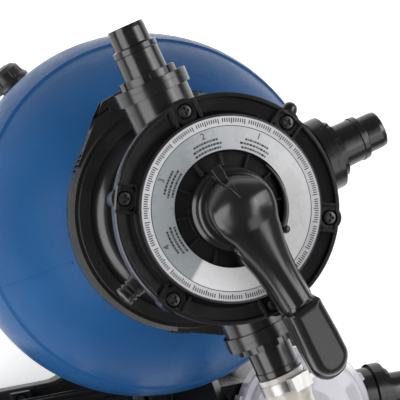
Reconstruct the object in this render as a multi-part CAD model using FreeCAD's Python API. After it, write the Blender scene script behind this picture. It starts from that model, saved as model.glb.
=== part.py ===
import FreeCAD, Part
import math
import os

os.makedirs("parts", exist_ok=True)

V = FreeCAD.Vector
X, Y, Z = V(1, 0, 0), V(0, 1, 0), V(0, 0, 1)

# Frame: origin on the floor under the tank's axis, +Z up, +X along the pump shaft towards
# the suction inlet, +Y from the pump to the tank. Sizes are in mm.

# Base
PLATE_TOP = 40.0
PLATE_X = (-190.0, 232.0)
PLATE_Y = (-312.0, -164.0)

# Tank
TANK_Z = 238.0
TANK_R = 174.5
DOME_R = 172.6
WALL = 4.5
BELT_HALF = 62.0
NECK_R = 88.0
NECK_BORE = 80.0
NECK_TOP = 410.0
FLANGE_R = 97.0
PARTING_DEG = 16.0
DRAIN_DEG = 122.5
DRAIN_Z = 164.0

# Clamp ring
RING_Z = (398.0, 422.0)
RING_R = 104.6
LUG_DEG = (112.5, 292.5)

# Valve
PORT_Z = 483.0
BODY_R = 71.0
BODY_TOP = 541.0
COVER_R = 93.5
LABEL_Z = 561.0
LABEL_R = 74.2
DISC_R = 46.0
SCREW_PCR = 85.4
SCREW_DEG = (45.5, 105.5, 165.5, 228.5, 287.5, 346.0)
PORT_DEG = {"return": 105.5, "waste": 15.5, "pump": 285.5}
HANDLE_DEG = -66.0
PIN_Z = 588.0

# Pump
SHAFT_Y = -227.0
SHAFT_Z = 128.0
OUTLET_X = 38.0
POT_X = 143.0
POT_R = 60.0
LID_TOP = 216.0
MOTOR_R = 57.0


def cyl(r, h, p=V(0, 0, 0), d=Z):
    return Part.makeCylinder(r, h, p, d)


def tube(ro, ri, h, p=V(0, 0, 0), d=Z):
    return cyl(ro, h, p, d).cut(cyl(ri, h + 2.0, p - d * 1.0, d))


def box(x0, y0, z0, x1, y1, z1):
    return Part.makeBox(x1 - x0, y1 - y0, z1 - z0, V(x0, y0, z0))


def spun(points):
    """A solid of revolution about +Z from (r, z) points."""
    wire = Part.makePolygon([V(r, 0, z) for r, z in points + points[:1]])
    return Part.Face(wire).revolve(V(0, 0, 0), Z, 360)


def turned(s, deg, centre=V(0, 0, 0), axis=Z):
    s = s.copy()
    s.rotate(centre, axis, deg)
    return s


def moved(s, x=0, y=0, z=0):
    s = s.copy()
    s.translate(V(x, y, z))
    return s


def lay(s, p, d):
    """Takes a shape built along +Z at the origin to the point p, along d."""
    s = s.copy()
    s.Placement = FreeCAD.Placement(p, FreeCAD.Rotation(Z, d)).multiply(s.Placement)
    return s


def fuse(parts):
    """One solid from several, with the seams between coplanar faces taken out."""
    out = parts[0]
    for s in parts[1:]:
        out = out.fuse(s)
    clean = out.removeSplitter()
    return clean if clean.isValid() and clean.Volume > 0 else out


def curve(e):
    """The edge's curve, or None at a pole."""
    return None if e.Degenerated else e.Curve


def softened(s, r, test):
    """Fillets the edges that pass the test, each group only if it can be done."""
    chosen = [e for e in s.Edges if not e.Degenerated and test(e)]
    for k in (r, r * 0.6, r * 0.3):
        try:
            f = s.makeFillet(k, chosen)
            if f.isValid() and f.Volume > 0:
                return f
        except Exception:
            pass
    return s


def prism(pts, z0, z1):
    wire = Part.makePolygon([V(x, y, z0) for x, y in pts + pts[:1]])
    return Part.Face(wire).extrude(V(0, 0, z1 - z0))


def at(r, deg, z=0.0):
    a = math.radians(deg)
    return V(r * math.cos(a), r * math.sin(a), z)


def heading(deg):
    return at(1.0, deg)


def pipe(points, radii, r_out, r_in):
    """A bent tube along straight runs joined by arcs."""
    edges = []
    last = points[0]
    for i in range(1, len(points) - 1):
        p, a, b = points[i], points[i - 1], points[i + 1]
        u = (a - p).normalize()
        w = (b - p).normalize()
        half = u.getAngle(w) / 2.0
        t = radii[i - 1] / math.tan(half)
        s, e = p + u * t, p + w * t
        bis = (u + w).normalize()
        mid = p + bis * (radii[i - 1] / math.sin(half) - radii[i - 1])
        edges.append(Part.makeLine(last, s))
        edges.append(Part.Arc(s, mid, e).toShape())
        last = e
    edges.append(Part.makeLine(last, points[-1]))
    path = Part.Wire(edges)
    d = (points[1] - points[0]).normalize()
    outer = Part.Wire(Part.makeCircle(r_out, points[0], d))
    full = path.makePipeShell([outer], True, False)
    if r_in <= 0:
        return full
    inner = Part.Wire(Part.makeCircle(r_in, points[0], d))
    return full.cut(path.makePipeShell([inner], True, False))


def hexagon(af, h, p=V(0, 0, 0), d=Z, spin=0.0):
    r = af / math.sqrt(3)
    pts = [(r * math.cos(math.radians(60 * i + spin)), r * math.sin(math.radians(60 * i + spin)))
           for i in range(6)]
    return lay(prism(pts, 0, h), p, d)


def pan_screw(p, d, thread_r, length, head_r, head_h):
    """A cross-recess pan-head screw: p is under the head, d points out of the head."""
    head = spun([(0, 0), (head_r, 0), (head_r, head_h * 0.45), (head_r * 0.82, head_h * 0.86),
                 (head_r * 0.5, head_h), (0, head_h)])
    w, n = head_r * 0.16, head_r * 0.58
    slot = box(-n, -w, head_h * 0.45, n, w, head_h + 1)
    cross = slot.fuse(turned(slot, 90))
    s = head.cut(cross).fuse(cyl(thread_r, length, V(0, 0, -length)))
    return lay(s, p, d)


def hex_bolt(p, d, thread_r, length, af, head_h):
    head = hexagon(af, head_h).common(spun([(0, -1), (af * 0.6, -1), (af * 0.6, head_h * 0.75),
                                            (af * 0.46, head_h), (0, head_h)]))
    return lay(head.fuse(cyl(thread_r, length, V(0, 0, -length))), p, d)


def torus(R, r, p=V(0, 0, 0), d=Z):
    return Part.makeTorus(R, r, p, d)


parts = {}

# ---------------------------------------------------------------- base
pump_pad = box(PLATE_X[0], PLATE_Y[0], 6, PLATE_X[1], PLATE_Y[1], PLATE_TOP)
waist = box(-51, -200, 6, 51, -60, PLATE_TOP)
deck = fuse([pump_pad, waist, cyl(134, PLATE_TOP - 6, V(0, 0, 6))])


def upright_corner(e):
    if not isinstance(curve(e), Part.Line) or len(e.Vertexes) != 2:
        return False
    a, b = e.Vertexes[0].Point, e.Vertexes[1].Point
    return abs(a.x - b.x) < 0.01 and abs(a.y - b.y) < 0.01 and abs(a.z - b.z) > 20


deck = softened(deck, 34.0, lambda e: upright_corner(e) and abs(e.Vertexes[0].Point.y + 164) < 1
                and abs(e.Vertexes[0].Point.x) < 60)
deck = softened(deck, 18.0, lambda e: upright_corner(e) and (
    e.Vertexes[0].Point.x < -180 or e.Vertexes[0].Point.x > 220))
deck = softened(deck, 4.0, lambda e: all(abs(v.Point.z - PLATE_TOP) < 0.05 for v in e.Vertexes))
hollow = fuse([box(PLATE_X[0] + 5, PLATE_Y[0] + 5, 0, PLATE_X[1] - 5, PLATE_Y[1] - 5, PLATE_TOP - 5),
               box(-46, -200, 0, 46, -60, PLATE_TOP - 5), cyl(129, PLATE_TOP - 5)])
hollow = softened(hollow, 14.0, lambda e: upright_corner(e) and (
    e.Vertexes[0].Point.x < -180 or e.Vertexes[0].Point.x > 220))
deck = deck.cut(hollow)
ribs = [box(x - 2, PLATE_Y[0] + 3, 12, x + 2, PLATE_Y[1] - 3, PLATE_TOP - 3)
        for x in (-150, -90, -30, 70, 130, 190)]
ribs += [box(PLATE_X[0] + 3, y - 2, 12, PLATE_X[1] - 3, y + 2, PLATE_TOP - 3)
         for y in (-275, -200)]
ribs += [turned(box(-131, -2, 12, 131, 2, PLATE_TOP - 3), a) for a in (30, 90, 150)]
FEET = ([(x, y) for x in (-165, 205) for y in (-290, -188)]
        + [(at(108, a).x, at(108, a).y) for a in (25, 90, 155)] + [(0, 0)])
posts = [cyl(9, PLATE_TOP - 9, V(x, y, 6)) for x, y in FEET]
deck = fuse([deck] + ribs + posts)
PUMP_BOLTS = [(x, SHAFT_Y + s * 52) for x in (-118, 18) for s in (-1, 1)]
TANK_BOLTS = [(at(118, a).x, at(118, a).y) for a in (45, 135, 225, 315)]
for x, y in FEET:
    deck = deck.cut(cyl(4, 20, V(x, y, 5)))
for x, y in PUMP_BOLTS + TANK_BOLTS:
    deck = deck.cut(cyl(3.2, 30, V(x, y, 20)))
parts["base_plate"] = deck
parts["base_feet"] = Part.makeCompound([
    moved(spun([(0, 0), (12, 0), (14, 2), (14, 5.9), (3.9, 5.9), (3.9, 18), (0, 18)]), x, y)
    for x, y in FEET])

# ---------------------------------------------------------------- tank
def ball_r(r, z):
    """The radius at height z of a sphere on the tank's centre."""
    return math.sqrt(r * r - (z - TANK_Z) ** 2)


def ball_arc(r, a, b):
    """The arc of a tank-centred circle from point a to point b."""
    t = (math.atan2(a.z - TANK_Z, a.x) + math.atan2(b.z - TANK_Z, b.x)) / 2.0
    return Part.Arc(a, V(r * math.cos(t), 0, TANK_Z + r * math.sin(t)), b).toShape()


def outline(*items):
    return Part.Face(Part.Wire(Part.sortEdges(list(items))[0])).revolve(V(0, 0, 0), Z, 360)


IN_R = DOME_R - WALL
z_lo, z_hi = TANK_Z - BELT_HALF, TANK_Z + BELT_HALF
pts = [V(0, 0, TANK_Z - DOME_R), V(ball_r(DOME_R, z_lo), 0, z_lo), V(ball_r(TANK_R, z_lo + 2.5), 0, z_lo + 2.5),
       V(ball_r(TANK_R, z_hi - 2.5), 0, z_hi - 2.5), V(ball_r(DOME_R, z_hi), 0, z_hi),
       V(101, 0, TANK_Z + math.sqrt(DOME_R ** 2 - 101 ** 2))]
top = [(93, 390), (NECK_R, 397), (NECK_R, 402), (FLANGE_R, 402), (FLANGE_R, NECK_TOP), (90.2, NECK_TOP),
       (90.2, NECK_TOP - 4.2), (84.8, NECK_TOP - 4.2), (84.8, NECK_TOP), (NECK_BORE, NECK_TOP),
       (NECK_BORE, TANK_Z + math.sqrt(IN_R ** 2 - NECK_BORE ** 2))]
top = [pts[5]] + [V(r, 0, z) for r, z in top]
low = V(0, 0, TANK_Z - IN_R)
shell = outline(ball_arc(DOME_R, pts[0], pts[1]), Part.makeLine(pts[1], pts[2]), ball_arc(TANK_R, pts[2], pts[3]),
                Part.makeLine(pts[3], pts[4]), ball_arc(DOME_R, pts[4], pts[5]),
                *[Part.makeLine(p, q) for p, q in zip(top, top[1:])],
                ball_arc(IN_R, top[-1], low), Part.makeLine(low, pts[0]))
skin = outline(Part.makeLine(V(0, 0, TANK_Z + DOME_R - 1.5), V(0, 0, TANK_Z + DOME_R + 0.7)),
               ball_arc(DOME_R + 0.7, V(0, 0, TANK_Z + DOME_R + 0.7), V(0, 0, TANK_Z - DOME_R - 0.7)),
               Part.makeLine(V(0, 0, TANK_Z - DOME_R - 0.7), V(0, 0, TANK_Z - DOME_R + 1.5)),
               ball_arc(DOME_R - 1.5, V(0, 0, TANK_Z - DOME_R + 1.5), V(0, 0, TANK_Z + DOME_R - 1.5)))
seam = turned(box(-TANK_R - 4, -1.1, z_hi + 1, TANK_R + 4, 1.1, 376), PARTING_DEG).common(skin)
drain_dir = heading(DRAIN_DEG)
drain_foot = at(148, DRAIN_DEG, DRAIN_Z)
spigot = lay(spun([(0, 0), (17, 0), (17, 16), (13, 20), (13, 36), (0, 36)]), drain_foot, drain_dir)
spigot = spigot.cut(Part.makeSphere(IN_R + 1, V(0, 0, TANK_Z)))
shell = fuse([shell, spigot] + seam.Solids)
shell = shell.cut(cyl(9, 60, drain_foot - drain_dir * 10, drain_dir))
parts["tank_shell"] = shell

stand = spun([(98, PLATE_TOP), (132, PLATE_TOP), (132, 48), (124, 52), (119, 116), (98, 116)])
stand = stand.cut(Part.makeSphere(DOME_R, V(0, 0, TANK_Z)))
for a in range(0, 360, 45):
    stand = stand.cut(turned(box(90, -13, 58, 140, 13, 84), a + 22.5))
for x, y in TANK_BOLTS:
    stand = stand.cut(cyl(3.2, 20, V(x, y, 39)))
    stand = stand.cut(cyl(8, 80, V(x, y, 50)))
parts["tank_stand"] = stand
parts["tank_screws"] = Part.makeCompound([
    pan_screw(V(x, y, 50), Z, 3.0, 20, 6.0, 3.6) for x, y in TANK_BOLTS])

# Drain cap: flared skirt, twelve flutes, domed end
cap = spun([(0, 24), (13.6, 24), (13.6, 24.2), (20.5, 24.2), (20.5, 27), (18.2, 31), (17.4, 39),
            (13.5, 43), (7, 45), (0, 45.4)])
cap = cap.cut(cyl(13.4, 16.0, V(0, 0, 22.0)))
for a in range(0, 360, 45):
    cap = cap.cut(turned(cyl(3.2, 30, V(20.4, 0, 30)), a))
parts["drain_cap"] = lay(cap, drain_foot, drain_dir)
parts["drain_gasket"] = lay(tube(12.6, 6.0, 1.9, V(0, 0, 36.05)), drain_foot, drain_dir)

# Standpipe, hub and slotted laterals
parts["standpipe"] = tube(22.0, 19.5, 350, V(0, 0, 116))
hub = spun([(0, 84), (34, 84), (34, 112), (26, 120), (26, 140), (0, 140)])
hub = hub.cut(cyl(22.05, 40, V(0, 0, 116))).cut(cyl(19, 30, V(0, 0, 92)))
for a in range(0, 360, 45):
    hub = hub.cut(cyl(5.05, 40, at(10, a, 98), heading(a)))
parts["lateral_hub"] = hub
lateral = tube(5.0, 3.4, 12.4, V(22, 0, 98), X).fuse(tube(8.0, 6.0, 40, V(34.2, 0, 98), X))
lateral = lateral.fuse(tube(8.0, 3.4, 1.6, V(34.2, 0, 98), X)).fuse(cyl(8.0, 2, V(74.2, 0, 98), X))
for i in range(7):
    lateral = lateral.cut(box(39 + 5 * i, -6.5, 88, 39.8 + 5 * i, 6.5, 108)
                          .cut(box(30, -1.2, 80, 100, 1.2, 120)))
parts["laterals"] = Part.makeCompound([turned(lateral, a) for a in range(0, 360, 45)])
parts["neck_o_ring"] = torus(87.5, 2.3, V(0, 0, NECK_TOP - 4.2 + 2.3))

# ---------------------------------------------------------------- clamp ring
groove_lo, groove_hi = 401.6, 417.2
ring = spun([(88.6, RING_Z[0]), (101, RING_Z[0]), (RING_R, 402), (RING_R, 416), (100.7, RING_Z[1] - 0.6),
             (97.2, RING_Z[1] - 1.4), (96.8, RING_Z[1]), (87.0, RING_Z[1]), (87.0, groove_hi),
             (98.0, groove_hi), (98.0, groove_lo), (88.6, groove_lo)])


def lug_block(deg):
    """A tapered lug with a flat tip, for one bolt across the split."""
    pts = [(RING_R * math.cos(math.radians(37)), -RING_R * math.sin(math.radians(37))),
           (120, -15), (120, 15),
           (RING_R * math.cos(math.radians(37)), RING_R * math.sin(math.radians(37)))]
    b = prism([(60, -45)] + pts + [(60, 45)], 401, 419)
    b = b.cut(cyl(98.05, 40, V(0, 0, 390)))
    for s in (-1, 1):
        b = b.cut(lay(cyl(9.0, 40), V(111.5, s * 13, 410), V(0.0, s, 0)))
    return turned(b, deg)


ring = fuse([ring] + [lug_block(a) for a in LUG_DEG])
teeth = []
for lug in LUG_DEG:
    for s in (-35.3, 35.3):
        for k in (-3.9, -1.3, 1.3, 3.9):
            teeth.append(turned(box(RING_R - 2, -1.0, 403, RING_R + 1.8, 1.0, 415), lug + s + k))
ring = fuse([ring] + teeth)
for a in LUG_DEG:
    ring = ring.cut(turned(box(80, -0.75, 380, 140, 0.75, 440), a))
    ring = ring.cut(cyl(3.2, 60, at(111.5, a, 410) - heading(a + 90) * 30, heading(a + 90)))
halves = sorted(ring.Solids, key=lambda s: s.CenterOfMass.x)
parts["clamp_half_left"] = halves[0]
parts["clamp_half_right"] = halves[-1]
bolts, nuts = [], []
for a in LUG_DEG:
    t = heading(a + 90)
    c = at(111.5, a, 410)
    bolts.append(hex_bolt(c + t * 13.0, t, 3.0, 34, 10, 4.2))
    nuts.append(hexagon(10, 5).cut(cyl(3.0, 9, V(0, 0, -2))).copy())
    nuts[-1] = lay(nuts[-1], c - t * 18.0, t)
parts["clamp_bolts"] = Part.makeCompound(bolts)
parts["clamp_nuts"] = Part.makeCompound(nuts)

# ---------------------------------------------------------------- valve body
body = spun([(0, 397), (78.5, 397), (78.5, 410.7), (96.5, 410.7), (96.5, 416.6), (86.5, 417.0),
             (BODY_R, 417.0), (BODY_R, 526), (80, 530), (88, 532), (88, BODY_TOP), (0, BODY_TOP)])
for a in SCREW_DEG:
    body = body.fuse(cyl(8.2, 20, at(SCREW_PCR, a, BODY_TOP - 20)))
flare = outline(Part.makeLine(V(70, 0, 412), V(86.5, 0, 412)), Part.makeLine(V(86.5, 0, 412), V(86.5, 0, 417.0)),
                Part.Arc(V(86.5, 0, 417.0), V(75.7, 0, 421.85), V(BODY_R, 0, 433.5)).toShape(),
                Part.makeLine(V(BODY_R, 0, 433.5), V(70, 0, 433.5)), Part.makeLine(V(70, 0, 433.5), V(70, 0, 412)))
body = body.fuse(flare)
STUB_R = 29.0
STUB_END = 113.0
stubs = [cyl(STUB_R, STUB_END - 50, at(50, a, PORT_Z), heading(a)) for a in PORT_DEG.values()]
stubs += [cyl(STUB_R + 3.0, 7, at(STUB_END - 7, a, PORT_Z), heading(a)) for a in PORT_DEG.values()]
PLUG_DEG = 214.5
plug_dir = heading(PLUG_DEG)
stubs.append(cyl(9.0, 30, at(60, PLUG_DEG, 500), plug_dir))
body = fuse([body] + stubs)
SEAT = 512.0
inner = fuse([cyl(64.0, SEAT - 8 - 400, V(0, 0, 405)), cyl(66.0, BODY_TOP - SEAT + 2, V(0, 0, SEAT)),
              cyl(72.0, 30, V(0, 0, 380))])
body = body.cut(inner)
ways = []
for name, a in PORT_DEG.items():
    ways.append(cyl(23.0, 80, at(40, a, PORT_Z), heading(a)))
    ways.append(cyl(26.05, 26, at(STUB_END - 20, a, PORT_Z), heading(a)))
ways.append(cyl(4.0, 60, at(50, PLUG_DEG, 500), plug_dir))
for w in ways:
    body = body.cut(w)
core = tube(26.0, 22.1, SEAT - 3 - 400, V(0, 0, 400))
walls = [turned(box(24, -1.8, 424, 66, 1.8, SEAT - 3), a) for a in (60.5, 150.5, 240.5, 330.5)]
webs = [turned(box(20, -2.0, 400, 73, 2.0, 424), a) for a in (30, 120, 210, 300)]
body = fuse([body, core] + walls + webs)
body = body.cut(cyl(22.1, 100, V(0, 0, 398)))
for k in range(4):
    sector = tube(60, 29, 14, V(0, 0, SEAT - 11)).common(
        turned(prism([(0, 0), (80, -58), (110, 0), (80, 58)], 490, 530), 15.5 + 90 * k))
    body = body.cut(sector)
body = body.cut(tube(72.4, 67.6, 3.0, V(0, 0, BODY_TOP - 2.6)))
for a in SCREW_DEG:
    body = body.cut(cyl(2.6, 22, at(SCREW_PCR, a, BODY_TOP - 18)))
parts["valve_body"] = body
parts["cover_o_ring"] = torus(70.0, 1.3, V(0, 0, BODY_TOP - 2.6 + 1.3))

gasket = tube(63.5, 26.0, 2.0, V(0, 0, SEAT))
for k in range(4):
    gasket = gasket.cut(tube(59, 30, 6, V(0, 0, SEAT - 2)).common(
        turned(prism([(0, 0), (80, -54), (110, 0), (80, 54)], 500, 530), 15.5 + 90 * k)))
parts["spider_gasket"] = gasket

# Ribbed gauge-port plug
plug = spun([(0, 0), (8.6, 0), (8.6, 4), (7.2, 4.6), (7.2, 6), (8.6, 6.8), (8.6, 8.4), (7.2, 9.2), (7.2, 10.4),
             (8.6, 11), (8.6, 13.5), (5, 14.5), (0, 14.5)])
plug = plug.fuse(cyl(3.9, 14, V(0, 0, -14))).cut(hexagon(5, 6, V(0, 0, 11)))
parts["gauge_port_plug"] = lay(plug, at(90.0, PLUG_DEG, 500), plug_dir)

# ---------------------------------------------------------------- valve cover
RIM_Z = 552.0
cover = spun([(0, BODY_TOP + 0.05), (COVER_R, BODY_TOP + 0.05), (COVER_R, RIM_Z - 1), (COVER_R - 1.4, RIM_Z),
              (COVER_R - 3.2, RIM_Z), (COVER_R - 4.2, RIM_Z - 4.5), (79.5, RIM_Z - 5.5), (76.5, RIM_Z - 2),
              (75.6, LABEL_Z - 1.0), (74.8, LABEL_Z), (DISC_R + 1, LABEL_Z), (DISC_R, LABEL_Z - 1),
              (DISC_R, LABEL_Z - 6), (34.5, LABEL_Z - 6), (33.5, LABEL_Z + 3), (31, LABEL_Z + 5),
              (31, LABEL_Z + 9), (0, LABEL_Z + 9)])
bosses, pads, pockets = [], [], []
for a in SCREW_DEG:
    bosses.append(cyl(10.4, RIM_Z - 2 - BODY_TOP, at(SCREW_PCR, a, BODY_TOP + 0.05)))
    for s in (-1, 1):
        pads.append(turned(box(76, s * 10.7 - 1.1, BODY_TOP + 2, 92.4, s * 10.7 + 1.1, RIM_Z + 0.6), a))
cover = fuse([cover] + bosses + pads)
notch = []
for k in range(12):
    pad = turned(box(34.5, -0.8, LABEL_Z - 7, DISC_R + 0.5, 0.8, LABEL_Z - 1.4), 30 * k + 2)
    notch.append(pad)
cover = fuse([cover] + notch)
inside = fuse([cyl(66.0, 549.0 - BODY_TOP + 2, V(0, 0, BODY_TOP - 2)), cyl(22.0, 7.0, V(0, 0, 545)),
               cyl(10.05, 60, V(0, 0, 540))])
cover = cover.cut(inside)
for a in SCREW_DEG:
    cover = cover.cut(cyl(3.2, 40, at(SCREW_PCR, a, BODY_TOP - 5)))
    cover = cover.cut(cyl(6.6, 10, at(SCREW_PCR, a, RIM_Z - 3.4)))
parts["valve_cover"] = cover
parts["cover_screws"] = Part.makeCompound([
    turned(pan_screw(V(SCREW_PCR, 0, RIM_Z - 3.4), Z, 2.55, 22, 6.0, 3.4), a) for a in SCREW_DEG])
parts["label_ring"] = tube(LABEL_R, DISC_R + 1.2, 0.4, V(0, 0, LABEL_Z))

# ---------------------------------------------------------------- hose adapters
def adapter(tail=16.0):
    """A stepped hose tail, built along +Z from the face of the port; tail is the radius of its last step."""
    pts = [(14, -18), (25.9, -18), (25.9, 0.05), (32.0, 0.05), (32.0, 5.0), (25.2, 5.0), (25.2, 11.5),
           (19.0, 11.5), (19.0, 15), (18.6, 31), (19.4, 31.6), (19.1, 36.4), (tail + 0.2, 37.2), (tail, 38),
           (tail, 51), (tail - 0.6, 54.5), (14.0, 54.5)]
    s = spun([(13.0, -18)] + pts[1:-1] + [(14.6, 54.5), (13.0, 53.0)])
    for a in range(0, 360, 45):
        s = s.cut(turned(box(24.0, -3.0, 4.99, 30, 3.0, 12), a))
    s = s.cut(tube(27, 24.0, 2.4, V(0, 0, -8.7)))
    return s


LINK_TAIL = 15.5
tails = [lay(adapter(LINK_TAIL if port == "pump" else 16.0), at(STUB_END, a, PORT_Z), heading(a))
         for port, a in PORT_DEG.items()]
SUCTION = V(238.0, SHAFT_Y, 150.0)
seals = [lay(torus(25.0, 1.0, V(0, 0, -7.5)), at(STUB_END, a, PORT_Z), heading(a)) for a in PORT_DEG.values()]

# ---------------------------------------------------------------- diverter and handle
ROTOR_TOP = 534.0
rotor = spun([(0, SEAT + 2.1), (62.0, SEAT + 2.1), (62.0, SEAT + 10), (58, ROTOR_TOP - 6), (18, ROTOR_TOP - 2),
              (10.0, ROTOR_TOP), (0, ROTOR_TOP)])
rotor = rotor.cut(tube(57, 13, 10, V(0, 0, SEAT + 2)).common(
    prism([(0, 0), (-80, -52), (-110, 0), (-80, 52)], 500, 540)))
rotor = rotor.cut(tube(57, 30, 60, V(0, 0, SEAT)).common(
    prism([(0, 0), (80, -54), (110, 0), (80, 54)], 500, 560)))
stem = cyl(9.97, PIN_Z + 7 - 530, V(0, 0, 530))
rotor = fuse([turned(rotor, 15.5), stem])
pin_dir = heading(HANDLE_DEG + 90)
rotor = rotor.cut(cyl(3.0, 40, V(0, 0, PIN_Z) - pin_dir * 20, pin_dir))
for z in (556.0, 561.0):
    rotor = rotor.cut(tube(12, 8.4, 2.2, V(0, 0, z)))
parts["diverter"] = rotor
parts["stem_o_rings"] = Part.makeCompound([torus(9.2, 0.8, V(0, 0, z + 1.1)) for z in (556.0, 561.0)])
coil = Part.makeHelix(3.4, 14.6, 13.2)
wire_at = Part.Wire(Part.makeCircle(1.2, V(13.2, 0, 0), V(0, 1, 0.041)))
spring = Part.Wire(coil).makePipeShell([wire_at], True, True)
parts["diverter_spring"] = moved(spring, 0, 0, 536.1)
parts["thrust_washer"] = tube(30.0, 10.05, 2.0, V(0, 0, LABEL_Z + 9.05))

# Handle: skirted domed hub, waisted bar, drooping grip and a short pointer fin
hub_z0 = LABEL_Z + 11.4
HUB_OUTLINE = [(0, 0), (30.8, 0), (31.4, 0.6), (31.4, 3.6), (30.4, 4.8), (27.0, 5.6), (26.6, 9.0), (25.1, 14.2),
               (21.6, 21.4), (17.5, 26.5), (13.5, 30.0), (7.0, 33.2), (0, 34.0)]
dome = spun([(r, hub_z0 + z) for r, z in HUB_OUTLINE])


def slab(x0, w0, z0b, z0t, x1, w1, z1b, z1t):
    """A tapering bar between two rectangular sections."""
    def wire(x, w, zb, zt):
        c = min(w * 0.55, (zt - zb) * 0.45)
        pts = [V(x, -w, zb), V(x, w, zb), V(x, w, zt - c), V(x, w - c, zt), V(x, -w + c, zt),
               V(x, -w, zt - c)]
        return Part.makePolygon(pts + pts[:1])
    return Part.makeLoft([wire(x0, w0, z0b, z0t), wire(x1, w1, z1b, z1t)], True, True)


zb = hub_z0
# Stations along the bar: distance from the hub's axis, half-width, underside and top above the hub's foot
BAR = [(0, 26.0, 1.0, 31.0), (20, 21.5, 2.0, 29.6), (40, 17.0, 2.5, 25.5), (60, 13.5, 2.5, 22.0),
       (93, 12.5, 1.5, 19.8)]
GRIP = [(92.5, 14.6, -2.0, 23.5), (157.0, 15.6, -15.0, 2.5)]
bar = []
for a, b in list(zip(BAR, BAR[1:])) + [GRIP]:
    bar.append(slab(a[0], a[1], zb + a[2], zb + a[3], b[0], b[1], zb + b[2], zb + b[3]))
tip, end_r = GRIP[1][0], GRIP[1][1]
grip_end = cyl(end_r, 60, V(tip - end_r, 0, zb - 30))
grip_end = grip_end.fuse(box(60, -17, zb - 30, tip - end_r, 17, zb + 60))
bar[-1] = bar[-1].common(grip_end)
fin = prism([(-37, -3.0), (-37, 3.0), (-30, 4.0), (0, 3.0), (0, -3.0), (-30, -4.0)], zb + 0.5, zb + 40)
fin = fin.common(Part.makeLoft([
    Part.makePolygon([V(-37, -8, zb), V(-37, 8, zb), V(-37, 2.0, zb + 16), V(-37, -2.0, zb + 16), V(-37, -8, zb)]),
    Part.makePolygon([V(0, -8, zb), V(0, 8, zb), V(0, 2.0, zb + 37), V(0, -2.0, zb + 37), V(0, -8, zb)])], True, True))
handle = fuse([dome] + bar + [fin])
handle = handle.cut(cyl(12.6, 24, V(0, 0, zb - 4))).cut(cyl(24.5, 6.0, V(0, 0, zb - 1)))
handle = handle.cut(box(44, -8, zb - 20, 90, 8, zb + 8)).cut(box(98, -9.5, zb - 30, 140, 9.5, zb + 2))
handle = handle.cut(box(-13.5, -10.4, zb, 13.5, 10.4, PIN_Z + 8.6))
handle = turned(handle, HANDLE_DEG)
handle = handle.cut(cyl(3.05, 80, V(0, 0, PIN_Z) - pin_dir * 40, pin_dir))
parts["handle"] = handle
parts["handle_pin"] = cyl(3.0, 44, V(0, 0, PIN_Z) - pin_dir * 22, pin_dir)

# ---------------------------------------------------------------- pump wet end
S = V(0, SHAFT_Y, SHAFT_Z)


def on_shaft(x, dy=0.0, dz=0.0):
    return V(x, SHAFT_Y + dy, SHAFT_Z + dz)


def xspun(points, x=0.0):
    """A solid of revolution about the shaft from (r, x) points."""
    return lay(spun(points), on_shaft(x), X)


pot_axis = V(POT_X, SHAFT_Y, 0)
wet = [xspun([(0, 6), (70, 6), (70, 12), (66, 14), (66, 58), (56, 68), (40, 78), (0, 78)]),
       cyl(POT_R, 192 - 66, pot_axis + V(0, 0, 66)),
       cyl(POT_R - 8, 8, pot_axis + V(0, 0, 58)),
       cyl(64.0, 9, pot_axis + V(0, 0, 183)),
       box(60, SHAFT_Y - 40, SHAFT_Z - 44, POT_X, SHAFT_Y + 40, SHAFT_Z + 40),
       cyl(STUB_R, 58, V(180, SHAFT_Y, 150), X),
       cyl(STUB_R + 3, 7, V(SUCTION.x - 7, SHAFT_Y, 150), X),
       cyl(STUB_R, 206 - 150, V(OUTLET_X, SHAFT_Y, 150)),
       cyl(STUB_R + 3, 7, V(OUTLET_X, SHAFT_Y, 199)),
       box(8, SHAFT_Y - 60, PLATE_TOP, 28, SHAFT_Y + 60, 58),
       box(8, SHAFT_Y - 44, PLATE_TOP, 28, SHAFT_Y + 44, SHAFT_Z - 20),
       box(POT_X - 26, SHAFT_Y - 26, PLATE_TOP, POT_X + 26, SHAFT_Y + 26, 70),
       cyl(13, 12, V(POT_X, SHAFT_Y - POT_R + 4, 78), V(0, -1, 0))]
wet = fuse(wet)
SEAL_BOLTS = [(62.5, 60 * k) for k in range(6)]
for r, a in SEAL_BOLTS:
    q = on_shaft(6, r * math.cos(math.radians(a)), r * math.sin(math.radians(a)))
    wet = wet.fuse(cyl(7.5, 16, q, X))
cavity = [xspun([(0, 5), (56, 5), (56, 40), (30, 46), (26, 56), (0, 56)]),
          cyl(20, 60, on_shaft(50), X),
          cyl(55.0, 140, pot_axis + V(0, 0, 64)),
          cyl(23, 80, V(170, SHAFT_Y, 150), X), cyl(26.05, 26, V(SUCTION.x - 20, SHAFT_Y, 150), X),
          cyl(21, 90, V(OUTLET_X - 10, SHAFT_Y, 150)), cyl(23, 50, V(OUTLET_X, SHAFT_Y, 176)),
          cyl(26.05, 26, V(OUTLET_X, SHAFT_Y, 186)),
          cyl(5.0, 30, V(POT_X, SHAFT_Y - POT_R + 12, 78), V(0, -1, 0)),
          box(POT_X - 21, SHAFT_Y - 21, PLATE_TOP - 1, POT_X + 21, SHAFT_Y + 21, 56)]
for c in cavity:
    wet = wet.cut(c)
wet = wet.cut(tube(61.6, 57.6, 3.0, pot_axis + V(0, 0, 189.4)))
for r, a in SEAL_BOLTS:
    q = on_shaft(5, r * math.cos(math.radians(a)), r * math.sin(math.radians(a)))
    wet = wet.cut(cyl(2.6, 16, q, X))
for x, y in PUMP_BOLTS:
    if x > 0:
        wet = wet.cut(cyl(3.2, 20, V(x, y, 39))).cut(cyl(7.2, 14, V(x, y, 48)))
parts["pump_housing"] = max(wet.Solids, key=lambda q: q.Volume)

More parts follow.
